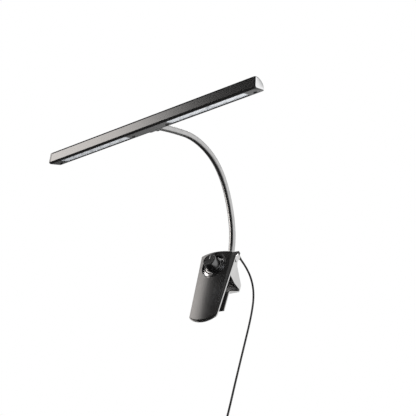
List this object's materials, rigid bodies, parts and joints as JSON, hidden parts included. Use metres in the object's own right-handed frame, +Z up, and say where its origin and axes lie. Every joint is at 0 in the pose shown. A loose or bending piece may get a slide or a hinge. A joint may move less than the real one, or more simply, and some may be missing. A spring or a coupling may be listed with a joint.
{
  "type": "clip-on reading lamp",
  "caption": "Clip-on reading lamp: a long slim light bar on a ridged flexible neck, carried by a sprung clip with a dimmer knob and a supply lead.",
  "frame": {"origin": "middle of the front pad's gripping face", "axes": "+Z up along the clip, +Y out of the front pad's face towards the rear jaw, +X along the light bar"},
  "size_m": [0.2903, 0.2738, 0.4002],
  "materials": {
    "clip_plastic": "fine moulded",
    "cover_plastic": "satin moulded",
    "knob_plastic": "gloss",
    "cap_plastic": "satin moulded",
    "cap_silver": "satin silver",
    "bezel_chrome": "bright",
    "dimmer_case": "moulded",
    "pad_rubber": "ribbed matt",
    "gland_rubber": "matt",
    "cord_jacket": "satin",
    "inner_cable": "satin",
    "tie_plastic": "matt",
    "plug_plastic": "moulded",
    "plug_metal": "nickel plated",
    "plated_steel": "satin nickel",
    "polished_pin": "polished",
    "spring_wire": "drawn wire",
    "zinc_screw": "zinc plated",
    "neck_fitting": "satin chrome",
    "neck_chrome": "spiral ridged satin chrome",
    "bar_anodised": "satin black anodised",
    "bar_underside": "satin moulded",
    "black_screw": "blackened",
    "clear_lens": "clear moulded",
    "reflector_metal": "bright",
    "light_board": "white solder mask",
    "circuit_board": "solder mask",
    "light_source": "encapsulated diode"
  },
  "bodies": {
    "clip": {"clip_plate": "plated_steel", "neck_block": "clip_plastic", "front_cover": "cover_plastic", "front_pad": "pad_rubber", "cover_screws": "zinc_screw", "dimmer_board": "circuit_board", "dimmer": "dimmer_case", "dimmer_nut": "zinc_screw", "dial_bezel": "bezel_chrome", "pivot_pin": "polished_pin", "arm_springs": "spring_wire", "cable_gland": "gland_rubber", "neck_socket": "neck_fitting", "neck_nut": "neck_fitting", "neck_link_1": "neck_chrome", "neck_cable_1": "inner_cable", "lead": "cord_jacket", "lead_coil": "cord_jacket", "cord_tie": "tie_plastic", "lead_tail": "cord_jacket", "plug_body": "plug_plastic", "plug_barrel": "plug_metal"},
    "rear_jaw": {"rear_arm": "plated_steel", "rear_pad": "pad_rubber"},
    "dial": {"knob": "knob_plastic", "dimmer_shaft": "zinc_screw"},
    "neck_2": {"neck_link_2": "neck_chrome", "neck_cable_2": "inner_cable"},
    "neck_3": {"neck_link_3": "neck_chrome", "neck_cable_3": "inner_cable"},
    "neck_4": {"neck_link_4": "neck_chrome", "neck_cable_4": "inner_cable"},
    "head": {"neck_link_5": "neck_chrome", "neck_cable_5": "inner_cable", "head_shell": "bar_anodised", "bottom_cover": "bar_underside", "head_screws": "black_screw", "head_boss": "cap_plastic", "end_cap_left": "cap_silver", "end_cap_right": "cap_silver", "lens_left": "clear_lens", "lens_right": "clear_lens", "reflector_left": "reflector_metal", "reflector_right": "reflector_metal", "light_board_left": "light_board", "light_board_right": "light_board", "lights_left": "light_source", "lights_right": "light_source"}
  },
  "joints": [
    {"name": "jaw_hinge", "type": "hinge", "parent": "clip", "child": "rear_jaw", "pos_m": [0, 0.0026, 0.0525], "axis": [1, 0, 0], "range_deg": [-2, 20], "stiffness_Nm_per_rad": 1.5},
    {"name": "dial_turn", "type": "hinge", "parent": "clip", "child": "dial", "pos_m": [0, -0.00822, 0.0375], "axis": [0, -1, 0], "range_deg": [-140, 140]},
    {"name": "neck_bend_low", "type": "hinge", "parent": "clip", "child": "neck_2", "pos_m": [0, 0.00178, 0.11217], "axis": [1, 0, 0], "range_deg": [-20, 20]},
    {"name": "neck_sway_low", "type": "hinge", "parent": "neck_2", "child": "neck_3", "pos_m": [0, -0.03477, 0.15008], "axis": [0, 0.5707, 0.8211], "range_deg": [-20, 20]},
    {"name": "neck_bend_high", "type": "hinge", "parent": "neck_3", "child": "neck_4", "pos_m": [0, -0.08506, 0.16271], "axis": [1, 0, 0], "range_deg": [-20, 20]},
    {"name": "neck_sway_high", "type": "hinge", "parent": "neck_4", "child": "head", "pos_m": [0, -0.1339, 0.14367], "axis": [0, -0.5878, 0.809], "range_deg": [-20, 20]}
  ],
  "couplings": [
    {"joint": "neck_bend_high", "follows": "neck_bend_low", "ratio": 1},
    {"joint": "neck_sway_high", "follows": "neck_sway_low", "ratio": 1}
  ]
}
